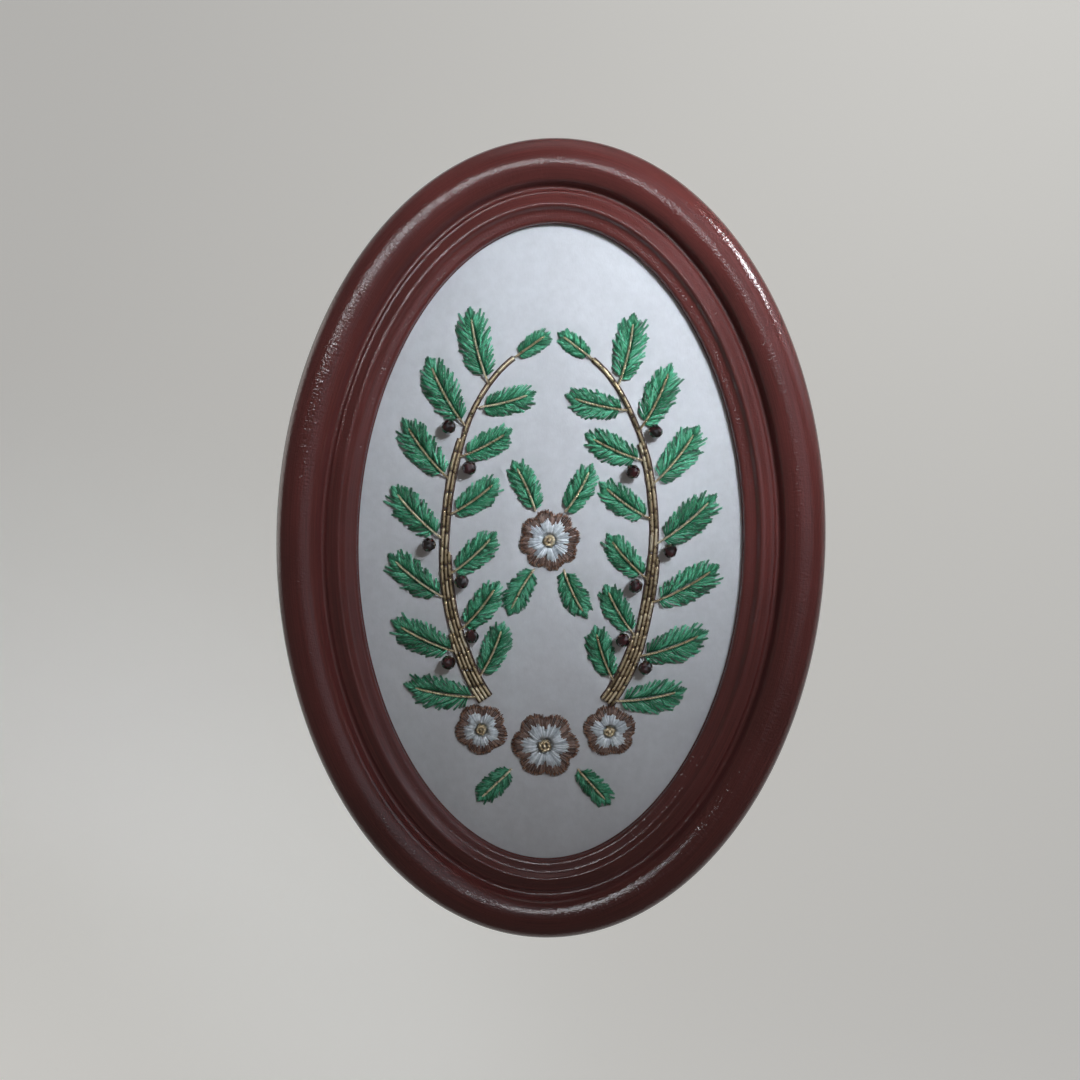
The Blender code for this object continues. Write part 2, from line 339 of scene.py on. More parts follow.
def ringFaces(rings, segments, closedRings=False):
    # four-sided faces between neighbouring closed rings
    faces = []
    for ring in range(rings if closedRings else rings - 1):
        start, following = ring * segments, (ring + 1) % rings * segments
        for index in range(segments):
            beside = (index + 1) % segments
            faces.append((start + index, start + beside, following + beside, following + index))
    return faces


# the moulding

# all in millimetres: in from the outer edge, and up from the back
moulding = {
    "segments": 288,
    "smoothing": 3,
    "depth": 14.5,
    "waist": 10.0,
    "rollCrest": 6.2,
    "rollSteps": 15,
    "rollEnd": 0.81,  # of the way from the crest to the valley
    "valley": (12.4, 10.2),
    "side": [(0.95, 3.0), (0.40, 6.8)],
    "fillet": [(11.5, 12.22), (11.75, 11.62), (11.95, 11.08), (12.15, 10.68), (12.4, 10.42),
               (12.75, 10.31)],
    "quirk": [(13.15, 10.33), (13.45, 10.43), (13.70, 10.59), (13.90, 10.69), (14.15, 10.72),
              (14.4, 10.75)],
    "beading": [(14.9, 10.88), (15.6, 11.14), (16.2, 11.36), (16.7, 11.48), (17.15, 11.52),
                (17.6, 11.40)],
    "lip": [(18.0, 11.02), (18.4, 10.52), (18.8, 10.20), (19.4, 10.04), (20.4, 9.92), (21.2, 9.80),
            (21.7, 9.50), (21.97, 8.95)],
    "rebate": [(22.0, 8.05), (21.8, 7.8), (16.0, 7.8), (16.0, 7.8), (16.0, 0.0)],
    "back": [(16.0, 0.0), (1.9, 0.0)],
    "backEdge": [(1.9, 0.0), (1.45, 0.15), (1.2, 0.5)],
    "bareBack": 0.6,
    "bareRebate": (15.9, 7.75),
}


def mouldingSection():
    shape = moulding
    crest, depth, waist = shape["rollCrest"], shape["depth"], shape["waist"]
    valleyIn, valleyUp = shape["valley"]
    turns = np.radians(np.linspace(0, 90, shape["rollSteps"]))
    outer = [(crest * (1 - math.cos(a)), waist + (depth - waist) * math.sin(a)) for a in turns]
    inner = [(crest + (valleyIn - crest) * math.sin(a), valleyUp + (depth - valleyUp) * math.cos(a))
             for a in turns[1:] if math.sin(a) < shape["rollEnd"]]
    path = shape["backEdge"] + shape["side"] + outer + inner
    for part in ("fillet", "quirk", "beading", "lip", "rebate", "back"):
        path += shape[part]
    return smoothLine(path, shape["smoothing"]) * mm


def makeMoulding():
    section = mouldingSection()
    turns = np.linspace(0, 2 * math.pi, moulding["segments"], endpoint=False)
    rings, marks = [], []
    around = np.abs((turns / math.pi + 0.5) % 2 - 1)
    length = np.cumsum(np.r_[0, np.hypot(*np.diff(section, axis=0).T)])
    rebateIn, rebateUp = moulding["bareRebate"]
    for index, (inset, height) in enumerate(section[:-1]):
        x, y = ovalPoint(turns, inset)
        rings.append(stand(x, y, height))
        across = np.full_like(around, length[index] / mm * 0.01)
        inRebate = inset > rebateIn * mm and height < rebateUp * mm
        bare = np.full_like(around, height < moulding["bareBack"] * mm or inRebate)
        marks.append(np.stack([around, across, bare], -1))
    faces = ringFaces(len(rings), len(turns), closedRings=True)
    ring = addPiece("ovalMoulding", np.concatenate(rings), faces, "lacqueredWood",
                    ("run", np.concatenate(marks)))
    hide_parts("moulding")


makeMoulding()
print("moulding turned")


# the embroidery's plan: the same garland as the solids have

garland = {
    "halfWidth": 28.5 * mm,
    "halfHeight": 54.0 * mm,
    "centreY": 2.0 * mm,
    "start": math.radians(-54),
    "end": math.radians(69),
    "halfWidthStart": 2.1 * mm,
    "halfWidthEnd": 0.7 * mm,
}
leaf = {
    "length": 18.0 * mm,
    "halfWidth": 4.8 * mm,
    "lean": math.radians(48),
    "bend": math.radians(16),
    "clear": 1.0 * mm,
    "rows": (("outer", 7, 0.03, 0.88, 1.00), ("inner", 6, 0.08, 0.80, 0.82)),
    "tipLength": 10.0 * mm,
    "tail": ((9.6 * mm, -61.5 * mm, math.radians(-48), 13.0 * mm),
             (-9.6 * mm, -62.0 * mm, math.radians(-134), 13.0 * mm)),
    "rosetteHeadings": [math.radians(a) for a in (62, 116, 243, 297)],
    "rosetteLength": 14.0 * mm,
    "uneven": (math.radians(3), 0.04),  # of the lean and of the length
}
# where each flower is, its radius, its petals and their turn
flowers = {
    "flower_bottom": (0.0, -54.5 * mm, 9.4 * mm, 6, 0.0),
    "flower_right": (17.8 * mm, -50.0 * mm, 7.4 * mm, 5, 0.4),
    "flower_left": (-17.8 * mm, -50.5 * mm, 7.4 * mm, 5, 0.9),
    "rosette": (0.0, 3.0 * mm, 8.4 * mm, 8, 0.2),
}


def stemPoint(along, side):
    # a point of the stem and its heading; side is 1 on the right and -1 on the left
    angle = garland["start"] + (garland["end"] - garland["start"]) * along
    x = side * garland["halfWidth"] * np.cos(angle)
    y = garland["centreY"] + garland["halfHeight"] * np.sin(angle)
    heading = np.arctan2(garland["halfHeight"] * np.cos(angle),
                         -garland["halfWidth"] * np.sin(angle) * side)
    return x, y, heading


def stemHalfWidth(along):
    return garland["halfWidthStart"] + (garland["halfWidthEnd"] - garland["halfWidthStart"]) * along


def leafPlan():
    # name, base, heading, length and bend of every leaf
    plan = []
    for side, suffix in ((1, "right"), (-1, "left")):
        for row, count, first, last, size in leaf["rows"]:
            hand = -1 if row == "outer" else 1
            for index in range(count):
                along = first + (last - first) * index / (count - 1)
                uneven = math.sin(7.3 * index + 2.1 * hand + 1.7 * side)
                x, y, heading = stemPoint(along, side)
                aside = hand * side * (stemHalfWidth(along) + leaf["clear"])
                base = (x - aside * math.sin(heading), y + aside * math.cos(heading))
                lean = hand * side * (leaf["lean"] + leaf["uneven"][0] * uneven)
                length = leaf["length"] * size * (1 + leaf["uneven"][1] * uneven)
                plan.append((f"leaf_{suffix}_{row}_{index + 1}", base, heading + lean, length,
                             -hand * side * leaf["bend"]))
        x, y, heading = stemPoint(1.0, side)
        base = (x + leaf["clear"] * math.cos(heading), y + leaf["clear"] * math.sin(heading))
        plan.append((f"leaf_{suffix}_tip", base, heading, leaf["tipLength"], 0.0))
    for index, (x, y, heading, length) in enumerate(leaf["tail"]):
        plan.append((f"leaf_tail_{index + 1}", (x, y), heading, length, 0.0))
    x, y, radius = flowers["rosette"][:3]
    for index, heading in enumerate(leaf["rosetteHeadings"]):
        out = radius + leaf["clear"]
        base = (x + out * math.cos(heading), y + out * math.sin(heading))
        plan.append((f"leaf_rosette_{index + 1}", base, heading, leaf["rosetteLength"], leaf["bend"]))
    return plan


def leafLine(base, heading, length, bend, along):
    chord = heading + bend * (along / 2 - 0.5)
    x = base[0] + length * along * np.cos(chord)
    y = base[1] + length * along * np.sin(chord)
    return x, y, heading + bend * (along - 0.5)


def leafHalfWidth(length, along, fullness):
    swell = math.sin(math.pi * (0.03 + 0.94 * along))
    return leaf["halfWidth"] * length / leaf["length"] * swell ** fullness


leaves = leafPlan()


# the velvet, drawn in a little round what is stitched on it

cloth = {
    "segments": 288,
    "rings": 110,
    "pucker": 0.22 * mm,
    "puckerReach": 1.6 * mm,
    "waver": 0.07 * mm,
    "middle": 0.004,
    "crowding": 0.9,  # below 1 the rings stand closer together towards the edge
    "flatEdge": 12,
    "underLip": ((19.0, 7.5), (16.9, 7.45), (16.4, 7.1), (16.3, 5.5), (16.3, 3.6), (16.6, 3.3)),
}


def puckers(x, y):
    sink = np.zeros_like(x)
    for name, base, heading, length, bend in leaves:
        nearest = np.full_like(x, 1.0)
        for along in np.linspace(0.05, 0.95, 7):
            lineX, lineY, turned = leafLine(base, heading, length, bend, along)
            width = leafHalfWidth(length, along, 0.75)
            nearest = np.minimum(nearest, np.hypot(x - lineX, y - lineY) - width)
        sink = np.maximum(sink, np.exp(-(np.maximum(nearest, 0) / cloth["puckerReach"]) ** 2))
    for x0, y0, radius, petals, turn in flowers.values():
        nearest = np.maximum(np.hypot(x - x0, y - y0) - radius, 0)
        sink = np.maximum(sink, np.exp(-(nearest / cloth["puckerReach"]) ** 2))
    waver = np.sin(x / mm * 0.31 + 1.3 * np.sin(y / mm * 0.17)) * np.sin(y / mm * 0.23 + 0.7)
    return cloth["pucker"] * sink - cloth["waver"] * waver


def makeVelvet():
    turns = np.linspace(0, 2 * math.pi, cloth["segments"], endpoint=False)
    rings = []
    edgeX, edgeY = ovalPoint(turns, panel["footIn"])
    for fraction in np.linspace(cloth["middle"], 1.0, cloth["rings"]) ** cloth["crowding"]:
        x, y = edgeX * fraction, edgeY * fraction
        fade = np.clip((1 - fraction) * cloth["flatEdge"], 0, 1)
        rings.append(stand(x, y, clothHeight(x, y) - puckers(x, y) * fade))
    for inset, height in cloth["underLip"]:
        x, y = ovalPoint(turns, inset * mm)
        rings.append(stand(x, y, height * mm))
    verts = np.concatenate(rings)
    faces = ringFaces(len(rings), len(turns))
    faces.append(tuple(reversed(range(len(turns)))))
    faces.append(tuple(range(len(verts) - len(turns), len(verts))))
    faces = [tuple(reversed(face)) for face in faces]
    velvet = addPiece("stretchedVelvet", verts, faces, "paleVelvet")
    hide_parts("padded_panel")


makeVelvet()
print("velvet stretched")


# threads

class Skein:
    # gathers round threads, and becomes one piece
    def __init__(self):
        self.points, self.marks, self.faces, self.count = [], [], [], 0

    def lay(self, paths, radius, sides, tint):
        # paths is threads by steps by three, radius and tint fit it
        paths = np.atleast_3d(np.asarray(paths, float))
        threads, steps = paths.shape[:2]
        radius = np.broadcast_to(radius, (threads, steps))
        tint = np.broadcast_to(np.asarray(tint, float).reshape(-1, 1), (threads, steps))
        run = np.gradient(paths, axis=1)
        run /= np.maximum(np.linalg.norm(run, axis=2, keepdims=True), 1e-12)
        outward = np.array([0.0, -1.0, 0.0])
        aside = np.cross(run, outward)
        aside /= np.maximum(np.linalg.norm(aside, axis=2, keepdims=True), 1e-9)
        up = np.cross(aside, run)
        turn = -math.pi / 2 + 2 * math.pi * np.arange(sides) / sides
        ring = np.cos(turn)[:, None] * aside[:, :, None, :] + np.sin(turn)[:, None] * up[:, :, None, :]
        verts = paths[:, :, None, :] + radius[:, :, None, None] * ring
        step = np.linalg.norm(np.diff(paths, axis=1), axis=2)
        length = np.concatenate([np.zeros((threads, 1)), np.cumsum(step, axis=1)], axis=1) / mm
        around = np.arange(sides) / sides
        marks = np.stack(np.broadcast_arrays(length[:, :, None], around, tint[:, :, None]), axis=-1)
        self.points.append(verts.reshape(-1, 3))
        self.marks.append(marks.reshape(-1, 3))
        for thread in range(threads):
            start = self.count + thread * steps * sides
            for ringIndex in range(steps - 1):
                a = start + ringIndex * sides
                for corner in range(sides):
                    beside = (corner + 1) % sides
                    self.faces.append((a + corner, a + sides + corner, a + sides + beside, a + beside))
            self.faces.append(tuple(range(start, start + sides)))
            end = start + (steps - 1) * sides
            self.faces.append(tuple(reversed(range(end, end + sides))))
        self.count += threads * steps * sides

    def piece(self, name, material, slot, *nodes):
        thing = addPiece(name, np.concatenate(self.points), self.faces, material,
                         ("thread", np.concatenate(self.marks)))
        if nodes:
            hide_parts(*nodes)
        return thing


def pieceName(node):
    words = node.split("_")
    return words[0] + "".join(word.capitalize() for word in words[1:])


stitch = {
    "strand": 0.145 * mm,
    "strandsAside": (-0.13 * mm, 0.13 * mm),
    "steps": 6,
    "sides": 5,
    "lobes": 4,
    "perLobe": 7,
    "lobeStart": {1: 0.60, -1: 0.34},  # in lobes, for either side of the midrib
    "lobeLength": 0.55,
    "beyondLobes": 0.95,
    "rounding": 0.22,
    "strandSpread": (0.40, 1.20),  # drawn together at the start, apart at the end
    "fan": math.radians(46),
    "slant": math.radians(46),
    "wander": 0.07,
    "fullness": 0.70,
    "reach": (0.88, 1.06),
    "height": 0.20 * mm,
    "stacked": 0.42 * mm,
    "padding": 0.40 * mm,
    "bury": 0.35 * mm,
    "tintUneven": 0.25,
    "fromMidrib": 0.22 * mm,
    "tipStitches": 7,
    "tipFan": math.radians(62),
    "tipStart": (0.80, 0.05),
    "tipLength": (0.19, 0.10),
    "tipReach": (0.92, 1.05),
    "tipHeight": 0.25 * mm,
    "tipStacked": 0.20 * mm,
}


def arch(x, y, base, lift, bury):
    # height of a stitch that comes up out of the cloth, lies on it and goes down again
    t = np.linspace(0, 1, x.shape[-1])
    rise = np.clip(np.sin(math.pi * t), 0, 1) ** 0.35
    return clothHeight(x, y) + base * rise + lift * np.sin(math.pi * t) - bury * (1 - rise)


def strandsOf(starts, ends, base, lift, chance):
    # straight stitches of two strands side by side, drawn together where they start
    t = np.linspace(0, 1, stitch["steps"])
    x = starts[:, :1] + (ends[:, :1] - starts[:, :1]) * t
    y = starts[:, 1:] + (ends[:, 1:] - starts[:, 1:]) * t
    run = ends - starts
    run = run / np.linalg.norm(run, axis=1, keepdims=True)
    height = arch(x, y, base[:, None], lift, stitch["bury"])
    together, apart = stitch["strandSpread"]
    spread = together + (apart - together) * t ** 0.7
    for aside in stitch["strandsAside"]:
        lean = aside * spread
        up = aside * 0.3 * np.cos(chance[:, None] * 6.3 + t * 2)
        yield stand(x - lean * run[:, 1:], y + lean * run[:, :1], height + up)


def lobeStitches(base, heading, length, bend, draw):
    # fans of stitches along both sides of the midrib: start, end and height of each
    lobes, perLobe = stitch["lobes"], stitch["perLobe"]
    for hand, ahead in stitch["lobeStart"].items():
        for lobe in range(lobes):
            for index in range(perLobe):
                spread = index / (perLobe - 1) - 0.5
                root = (lobe + ahead) / (lobes + stitch["beyondLobes"])
                along = root + stitch["lobeLength"] * spread / lobes
                x, y, turned = leafLine(base, heading, length, bend, max(along, 0.01))
                wander = draw.uniform(-stitch["wander"], stitch["wander"])
                angle = hand * (stitch["slant"] - stitch["fan"] * spread + wander)
                width = leafHalfWidth(length, min(along + 0.18, 0.97), stitch["fullness"])
                rounded = 1 - stitch["rounding"] * abs(2 * spread) ** 1.5
                reach = width / abs(math.sin(angle)) * rounded * draw.uniform(*stitch["reach"])
                reach = min(reach, (1.02 - along) * length)
                begin = hand * stitch["fromMidrib"]
                x, y = x - begin * math.sin(turned), y + begin * math.cos(turned)
                end = (x + reach * math.cos(turned + angle), y + reach * math.sin(turned + angle))
                yield (x, y), end, stitch["height"] + draw.uniform(0, stitch["stacked"])


def tipStitches(base, heading, length, bend, draw):
    # a last fan that closes the leaf
    low, arc = stitch["tipStart"]
    longest, shorter = stitch["tipLength"]
    for index in range(stitch["tipStitches"]):
        spread = index / (stitch["tipStitches"] - 1) - 0.5
        along = low + arc * math.cos(math.pi * spread)
        x, y, turned = leafLine(base, heading, length, bend, along)
        angle = turned + stitch["tipFan"] * spread
        reach = length * (longest - shorter * abs(spread)) * draw.uniform(*stitch["tipReach"])
        start = (x - 0.4 * mm * math.sin(spread) * math.sin(turned), y)
        end = (x + reach * math.cos(angle), y + reach * math.sin(angle))
        yield start, end, stitch["tipHeight"] + draw.uniform(0, stitch["tipStacked"])


def makeLeaf(node, base, heading, length, bend, draw):
    line = (base, heading, length, bend, draw)
    starts, ends, heights = (np.array(part) for part in zip(*lobeStitches(*line), *tipStitches(*line)))
    chance = np.array([draw.random() for _ in starts])
    padding = stitch["padding"] * length / leaf["length"]
    skein = Skein()
    for paths in strandsOf(starts, ends, heights, padding, chance):
        uneven = [draw.uniform(-stitch["tintUneven"], stitch["tintUneven"]) for _ in chance]
        tint = np.clip(0.5 + 0.9 * (chance - 0.5) + uneven, 0, 1)
        skein.lay(paths, stitch["strand"], stitch["sides"], tint)
    skein.piece(pieceName(node), "greenSilk", "green_silk", node)


cordThread = {
    "ply": 0.20 * mm,
    "offset": 0.16 * mm,
    "pitch": 1.0 * mm,
    "stepsPerTurn": 8,
    "sides": 4,
    "begin": {"stem": -0.11, "loose": -0.04},  # the midrib starts behind the leaf
    "end": 0.86,
    "lift": 0.95 * mm,
}


def layCord(skein, x, y, height, draw):
    # two plies twisted round each other along a line
    ply = cordThread
    step = np.r_[0, np.cumsum(np.hypot(np.diff(x), np.diff(y)))]
    count = max(8, int(step[-1] / ply["pitch"] * ply["stepsPerTurn"]))
    even = np.linspace(0, step[-1], count)
    x, y, height = (np.interp(even, step, value) for value in (x, y, height))
    heading = np.arctan2(np.gradient(y), np.gradient(x))
    twist = 2 * math.pi * even / ply["pitch"] + draw.uniform(0, 6)
    for phase in (0, math.pi):
        aside = ply["offset"] * np.cos(twist + phase)
        up = ply["offset"] * np.sin(twist + phase)
        path = stand(x - aside * np.sin(heading), y + aside * np.cos(heading), height + up)
        skein.lay(path[None], ply["ply"], ply["sides"], [draw.uniform(0.45, 1.0)])


def makeMidribs(draw):
    skein = Skein()
    for node, base, heading, length, bend in leaves:
        loose = "tail" in node or "rosette" in node
        begin = cordThread["begin"]["loose" if loose else "stem"]
        along = np.linspace(begin, cordThread["end"], 24)
        x, y, turned = leafLine(base, heading, length, bend, along)
        rise, dip = np.clip((along - begin) * 9, 0.25, 1), np.clip((0.90 - along) * 7, 0.1, 1)
        layCord(skein, x, y, clothHeight(x, y) + cordThread["lift"] * rise * dip, draw)
    skein.piece("goldMidribs", "goldPurl", "gold_purl")


purl = {
    "radius": 0.46 * mm,
    "pitch": 1.06 * mm,
    "groove": 0.05 * mm,
    "coil": 0.34 * mm,
    "sides": 8,
    "shortest": 3.6 * mm,
    "longest": 6.0 * mm,
    "rows": 4,
    "rowEnds": (0.42, 1.0, 0.70, 0.22),
    "cutGap": 0.10 * mm,
    "dipLength": 0.5 * mm,
    "dip": 0.22 * mm,
    "endTaper": 0.12 * mm,
}


# dark brown thread laid under the gaps between the purl rows: painted shade, it darkens the gaps where
# the rows shade each other
gapShadeThread = {
    "radius": 0.30 * mm,
    "lift": 0.12 * mm,
    "sides": 5,
}


def layPurl(skein, x, y, height, draw):
    # one length of coiled wire, with its ends dipped to the cloth
    step = np.r_[0, np.cumsum(np.hypot(np.diff(x), np.diff(y)))]
    count = max(5, int(step[-1] / purl["coil"]) * 2 + 1)
    even = np.linspace(0, step[-1], count)
    x, y, height = (np.interp(even, step, value) for value in (x, y, height))
    ends = np.minimum(even, step[-1] - even)
    dip = 1 - np.clip(ends / purl["dipLength"], 0, 1)
    radius = purl["radius"] - purl["groove"] * (np.arange(count) % 2) - purl["endTaper"] * dip
    path = stand(x, y, height - purl["dip"] * dip)
    skein.lay(path[None], radius[None], purl["sides"], [np.clip(draw.gauss(0.5, 0.24), 0, 1)])


def makeStem(side, suffix, draw):
    skein = Skein()
    fine = np.linspace(0, 1, 400)
    weights = []
    for row in range(purl["rows"]):
        end = purl["rowEnds"][row]
        weights.append(np.clip((end - fine) / 0.10 + 0.5, 0, 1) if end < 1 else np.ones_like(fine))
    weights = np.array(weights)
    total = weights.sum(axis=0)
    edge = np.cumsum(weights, axis=0) - weights / 2 - total / 2
    x, y, heading = stemPoint(fine, side)
    gapShade = Skein()
    for row in range(purl["rows"]):
        aside = edge[row] * purl["pitch"]
        rowX, rowY = x - aside * np.sin(heading), y + aside * np.cos(heading)
        rowHeight = clothHeight(rowX, rowY) + purl["radius"] * 1.05
        present = weights[row] > 0.55
        length = np.r_[0, np.cumsum(np.hypot(np.diff(rowX), np.diff(rowY)))]
        last = length[present].max()
        place = draw.uniform(-2.0, 0.0) * mm
        while place < last:
            cut = draw.uniform(purl["shortest"], purl["longest"])
            begin, finish = max(place, 0), min(place + cut, last)
            inside = (length >= begin) & (length <= finish)
            if inside.sum() > 3:
                layPurl(skein, rowX[inside], rowY[inside], rowHeight[inside], draw)
            place += cut + purl["cutGap"]
        keep = np.flatnonzero(present)[::6]
        # painted shade: dark thread fills the gaps between the rows
        for beside in (-0.5, 0.5):  # dark thread in the gaps between the rows
            gap = aside[keep] + beside * purl["pitch"]
            lineX, lineY = x[keep] - gap * np.sin(heading[keep]), y[keep] + gap * np.cos(heading[keep])
            if len(keep) > 2:
                path = stand(lineX, lineY, clothHeight(lineX, lineY) + gapShadeThread["lift"])
                gapShade.lay(path[None], gapShadeThread["radius"], gapShadeThread["sides"], [0.1])
    skein.piece(pieceName("stem_" + suffix), "goldPurl", "gold_purl", "stem_" + suffix)
    gapShade.piece("stemGround" + suffix.capitalize(), "brownSilk", "gold_purl")


draw = random.Random(11)
for node, base, heading, length, bend in leaves:
    makeLeaf(node, base, heading, length, bend, draw)
makeMidribs(draw)
makeStem(1, "right", draw)
makeStem(-1, "left", draw)
print("garland stitched:", len(leaves), "leaves")


# flowers in satin stitch

flower = {
    "steps": 8,
    "sides": 5,
    "notch": 0.18,
    "centreChips": 9,
    "crowding": 0.96,
    "wander": 0.15,
    "startUneven": (0.92, 1.10),
    "gather": 0.75,  # how much the long stitches shorten between two petals
    "bury": 0.40 * mm,
    "taper": 0.28,
    "tint": (0.52, 0.30),
    "centreRing": 0.13,
    "centreHalf": 0.9 * mm,
    "centreHeights": (1.6 * mm, 1.15 * mm),
    "centreArch": 0.5 * mm,
}
# short uneven stitches over the petals' edge
overcast = {
    "thread": 0.12 * mm,
    "pitch": 0.40 * mm,
    "length": (0.7, 1.4),
    "past": (-0.25, 0.22),
    "base": 0.34 * mm,
    "lift": 0.22 * mm,
    "bury": 0.30 * mm,
    "steps": 5,
    "sides": 4,
}
# each layer: silk, where it starts and ends, width and pitch of a stitch, base, swell, uneven ends
bands = (
    ("brownSilk", 0.46, 1.00, 0.21 * mm, 0.44 * mm, 0.22 * mm, 0.36 * mm, 0.045),
    ("whiteSilk", 0.20, 0.80, 0.25 * mm, 0.52 * mm, 0.56 * mm, 0.32 * mm, 0.130),
)


def petalRim(angle, petals):
    return 1 - flower["notch"] * (1 - abs(math.cos(petals * angle / 2)) ** 0.6)


def layBand(skein, band, place, radius, petals, turn, draw):
    silkName, low, high, width, pitch, base, swell, uneven = band
    x0, y0 = place
    longStitches = uneven > 0.1
    count = int(2 * math.pi * radius * high * flower["crowding"] / pitch)
    t = np.linspace(0, 1, flower["steps"])
    for index in range(count):
        angle = 2 * math.pi * (index + draw.uniform(-flower["wander"], flower["wander"])) / count
        phase = (angle * petals / (2 * math.pi) + 0.5) % 1 - 0.5
        rim = petalRim(angle, petals)
        shorten = 1 - flower["gather"] * abs(2 * phase) ** 3 * longStitches
        start = radius * low * draw.uniform(*flower["startUneven"])
        full = radius * high * rim * (1 + draw.uniform(-uneven, uneven)) - start
        out = start + full * (0.45 + 0.55 * shorten) * t
        bearing = angle + turn - 0.5 * phase / petals * (1 - t) * longStitches
        x, y = x0 + out * np.cos(bearing), y0 + out * np.sin(bearing)
        height = arch(x, y, base, swell * math.cos(math.pi * phase) ** 0.6, flower["bury"])
        narrow = width * (1 - flower["taper"] * (1 - np.sin(math.pi * np.clip(t, 0.04, 0.96))))
        tint = np.clip(draw.gauss(*flower["tint"]), 0, 1)
        skein.lay(stand(x, y, height)[None], narrow[None], flower["sides"], [tint])


def makeFlower(node, x0, y0, radius, petals, turn, draw):
    for band, ending in zip(bands, ("Petals", "Hearts")):
        skein = Skein()
        layBand(skein, band, (x0, y0), radius, petals, turn, draw)
        nodes = [node] if ending == "Petals" else []
        skein.piece(pieceName(node) + ending, band[0], "white_silk", *nodes)
    rimThread = Skein()
    count = int(2 * math.pi * radius / overcast["pitch"])
    t = np.linspace(0, 1, overcast["steps"])
    for index in range(count):
        angle = 2 * math.pi * (index + draw.uniform(-0.25, 0.25)) / count
        out = petalRim(angle, petals) * radius + draw.uniform(*overcast["past"]) * mm
        out = out - draw.uniform(*overcast["length"]) * mm * (1 - t)
        bearing = angle + turn + draw.uniform(-0.04, 0.04) * t
        x, y = x0 + out * np.cos(bearing), y0 + out * np.sin(bearing)
        height = arch(x, y, overcast["base"], overcast["lift"], overcast["bury"])
        rimThread.lay(stand(x, y, height)[None], overcast["thread"], overcast["sides"], [draw.random()])
    rimThread.piece(pieceName(node) + "Rim", "copperThread", "gold_purl")
    centre = Skein()
    for index in range(flower["centreChips"]):
        ring = radius * flower["centreRing"] if index else 0.0
        angle = 2 * math.pi * index / (flower["centreChips"] - 1)
        x, y = x0 + ring * math.cos(angle), y0 + ring * math.sin(angle)
        across = angle + math.pi / 2 + draw.uniform(-0.5, 0.5)
        half = flower["centreHalf"]
        line = np.linspace(-half, half, 9)
        top = clothHeight(x, y) + flower["centreHeights"][min(index, 1)]
        height = top - flower["centreArch"] * (line / half) ** 2
        layPurl(centre, x + line * math.cos(across), y + line * math.sin(across), height, draw)
    centre.piece(pieceName(node) + "Centre", "goldPurl", "gold_purl")


for node, (x0, y0, radius, petals, turn) in flowers.items():
    makeFlower(node, x0, y0, radius, petals, turn, draw)
print("flowers stitched:", len(flowers))


# beads, cut with flat faces and sewn down through their hole

bead = {
    "facets": 9,
    "profile": ((0.36, 1.62), (1.05, 1.72), (1.78, 0.95), (2.06, 0.0), (1.78, -0.95), (1.05, -1.72),
                (0.36, -1.62)),  # out from the hole and along it, in millimetres
    "rows": {"outer": (1, 3, 5), "inner": (1, 2, 4)},
    "tilt": 0.2,
}


def makeBead(node, draw):
    low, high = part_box(node)
    centre = Vector([(low[i] + high[i]) / 2 for i in range(3)])
    facets = bead["facets"]
    verts, faces = [], []
    for row, (out, along) in enumerate(bead["profile"]):
        for index in range(facets):
            angle = 2 * math.pi * (index + 0.5 * (row % 2)) / facets
            verts.append(Vector((out * mm * math.cos(angle), out * mm * math.sin(angle), along * mm)))
    rows = len(bead["profile"])
    for row in range(rows):
        following = (row + 1) % rows
        for index in range(facets):
            a, b = row * facets + index, row * facets + (index + 1) % facets
            c, d = following * facets + index, following * facets + (index + 1) % facets
            if row == rows - 1:
                faces += [(a, c, d), (a, d, b)]
            elif row % 2 == 0:
                faces += [(a, c, b), (b, c, d)]
            else:
                faces += [(a, c, d), (a, d, b)]
    spin = Matrix.Rotation(draw.uniform(0, 3.1), 4, "Y")
    spin = spin @ Matrix.Rotation(draw.uniform(-bead["tilt"], bead["tilt"]), 4, "X")
    spin = spin @ Matrix.Rotation(draw.uniform(0, 3.1), 4, "Z")
    placed = np.array([centre + spin @ v for v in verts])
    thing = addPiece(pieceName(node), placed, faces, "garnetGlass", smooth=False)
    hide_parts(node)


for suffix in ("right", "left"):
    for row, indices in bead["rows"].items():
        for index in indices:
            makeBead(f"bead_{suffix}_{row}_{index + 1}", draw)
print("beads sewn on")


# the board keeps its solid and gets its finish

def finishBoard():
    board = bpy.data.objects["backing_board"]
    board.data.materials.clear()
    board.data.materials.append(materials["hardboard"])


finishBoard()


# studio: a pale round room, soft lamps and the photograph's view

studio = {
    "floorZ": -0.42,
    "radius": 1.55,
    "curve": 0.90,
    "height": 1.70,
    "segments": 49,
    "paint": (0.780, 0.780, 0.760),
    "glow": 0.36,
    "worldColour": (1.00, 0.92, 0.86),
    "worldStrength": 0.135,
}


